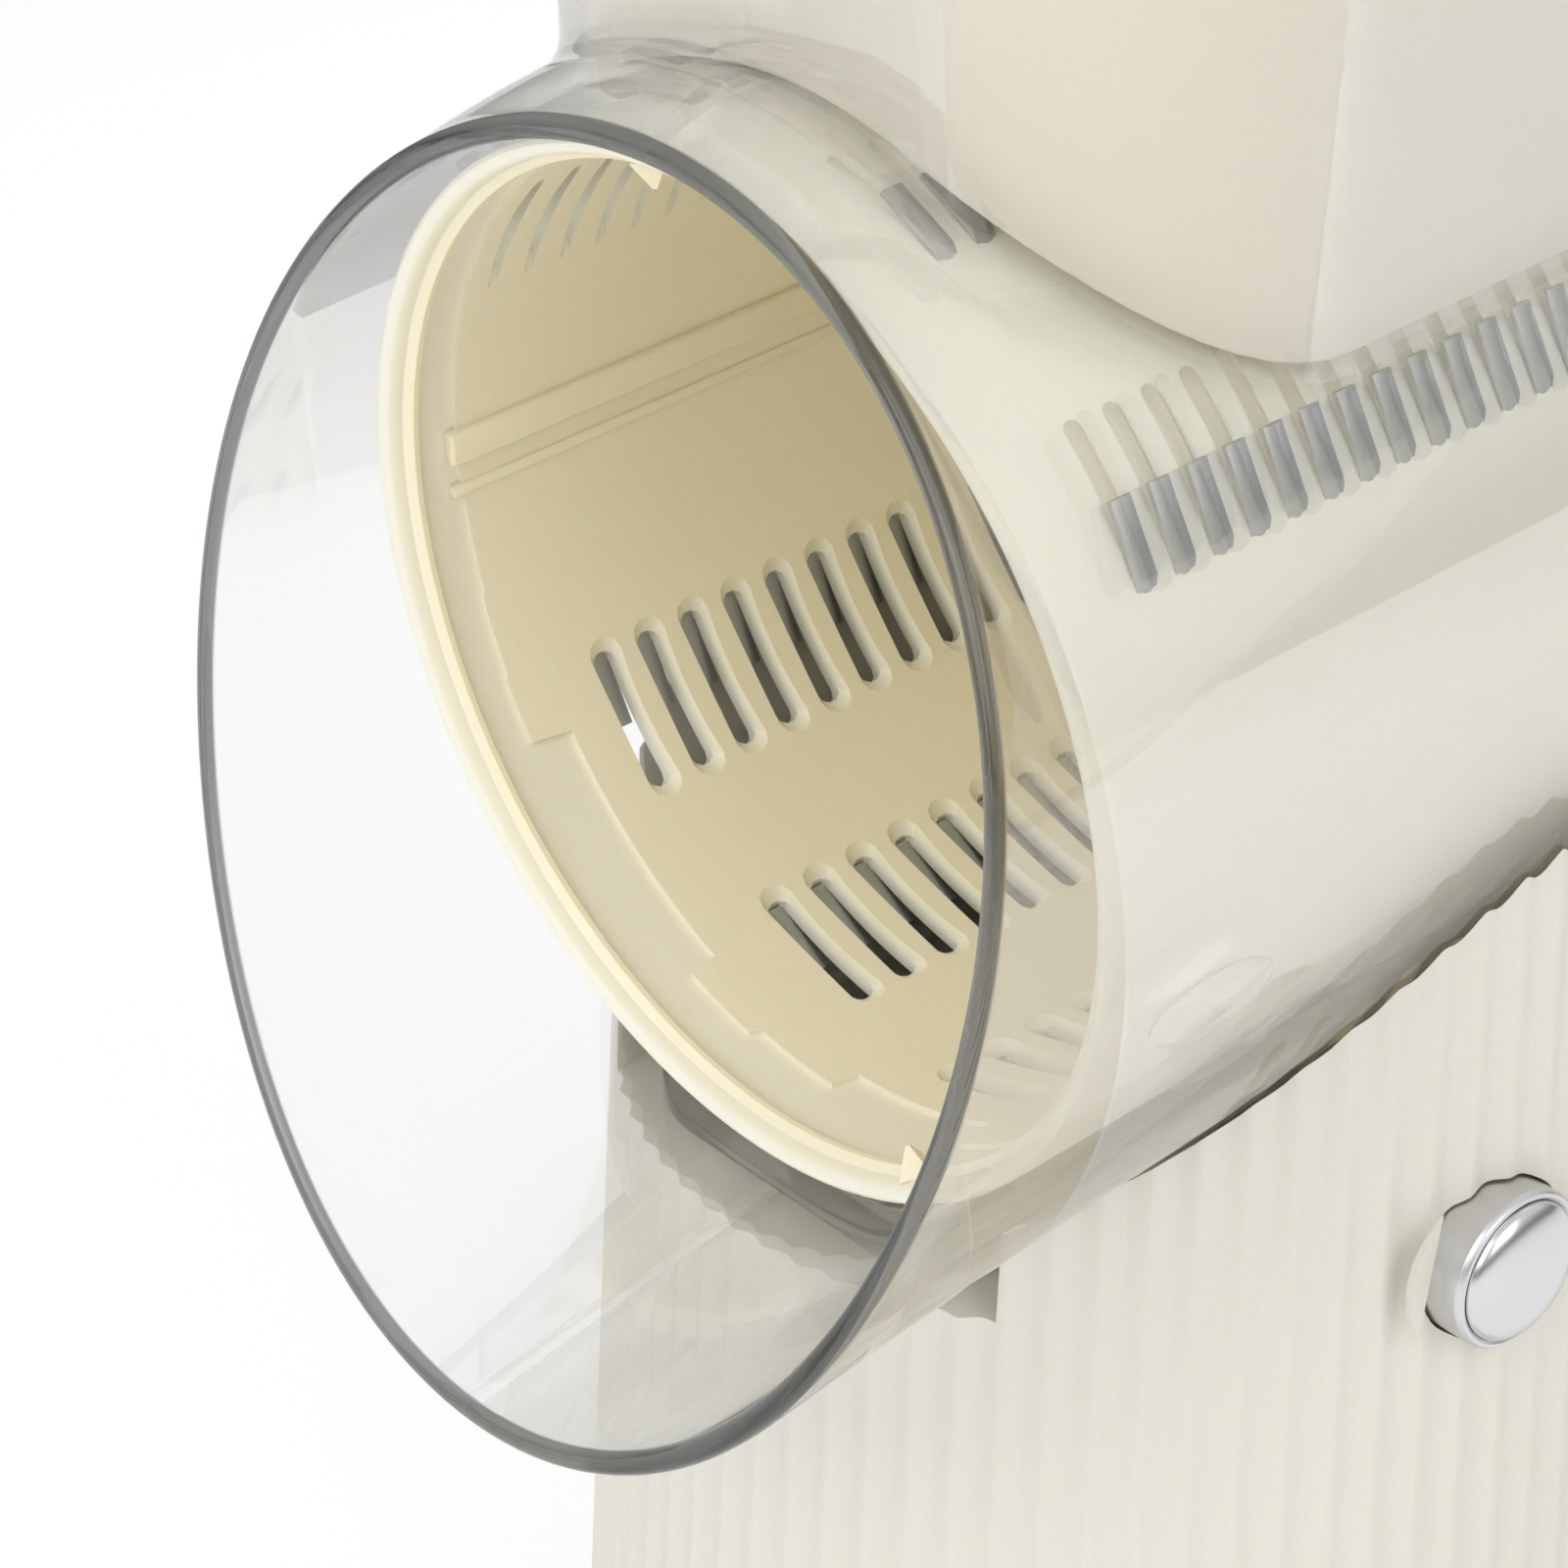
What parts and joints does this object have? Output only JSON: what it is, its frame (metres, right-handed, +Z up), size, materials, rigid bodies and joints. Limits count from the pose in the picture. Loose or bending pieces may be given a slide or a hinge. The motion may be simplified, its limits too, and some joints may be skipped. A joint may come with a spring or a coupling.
{
  "type": "rotary cheese grater",
  "caption": "Hand-cranked drum grater: ivory suction-footed pedestal, clear flared housing and chute, slotted ivory drum with steel tooth strips, cream pusher and chrome release button.",
  "frame": {"origin": "middle of the pedestal's foot, on the table", "axes": "+Z up, the drum's mouth faces -Y, the crank is at +Y, the release button at +X"},
  "size_m": [0.117, 0.2138, 0.2633],
  "materials": {
    "ivory": "satin",
    "drum_ivory": "satin",
    "pusher_cream": "satin",
    "clear": "polished clear plastic",
    "tooth_steel": "satin",
    "shaft_steel": "turned",
    "chrome": "satin ring, polished dome",
    "rubber": "matte",
    "bush": "plain"
  },
  "bodies": {
    "stand": {"pedestal_shell": "ivory", "base_plate": "ivory", "base_screws": "shaft_steel", "foot_pads": "rubber", "suction_cup": "rubber", "drum_housing": "clear", "rear_cover": "ivory", "cover_screws": "shaft_steel", "front_bush": "bush", "rear_bush": "bush", "shaft_seal": "rubber"},
    "rotor": {"drum_frame": "drum_ivory", "blade_row_1": "tooth_steel", "blade_row_2": "tooth_steel", "blade_row_3": "tooth_steel", "blade_row_4": "tooth_steel", "blade_row_5": "tooth_steel", "blade_row_6": "tooth_steel", "blade_row_7": "tooth_steel", "blade_row_8": "tooth_steel", "hub_insert": "bush", "drive_shaft": "shaft_steel", "retaining_clip": "shaft_steel", "crank_arm": "ivory", "crank_screw": "shaft_steel", "crank_cap": "chrome", "knob_spindle": "shaft_steel"},
    "knob": {"crank_knob": "ivory", "knob_cap": "ivory"},
    "pusher": {"food_pusher": "pusher_cream", "pusher_cap": "pusher_cream"},
    "lever": {"suction_lever": "ivory", "lever_shaft": "shaft_steel", "lever_clip": "shaft_steel", "lever_screw": "chrome"},
    "stem": {"suction_stem": "bush"},
    "button": {"release_button": "chrome", "latch_bar": "bush", "button_spring": "shaft_steel"}
  },
  "joints": [
    {"name": "crank_turn", "type": "hinge", "parent": "stand", "child": "rotor", "pos_m": [0, -0.064, 0.165], "axis": [0, 0.9952, 0.0976], "continuous": true},
    {"name": "knob_spin", "type": "hinge", "parent": "rotor", "child": "knob", "pos_m": [0, 0.09387, 0.09206], "axis": [0, 0.9952, 0.0976], "continuous": true},
    {"name": "pusher_slide", "type": "slide", "parent": "stand", "child": "pusher", "axis": [0, 0, 1], "range_m": [0, 0.04]},
    {"name": "suction_turn", "type": "hinge", "parent": "stand", "child": "lever", "pos_m": [0, 0, 0.032], "axis": [1, 0, 0], "range_deg": [-91, 0]},
    {"name": "stem_lift", "type": "slide", "parent": "stand", "child": "stem", "axis": [0, 0, 1], "range_m": [0, 0.003], "deforming": ["suction_cup"]},
    {"name": "button_press", "type": "slide", "parent": "stand", "child": "button", "axis": [-1, 0, 0], "range_m": [0, 0.003], "stiffness_N_per_m": 300, "springref_m": -0.002, "deforming": ["button_spring"]}
  ],
  "couplings": [
    {"joint": "suction_turn", "follows": "stem_lift", "rad_per_m": -523.6}
  ]
}
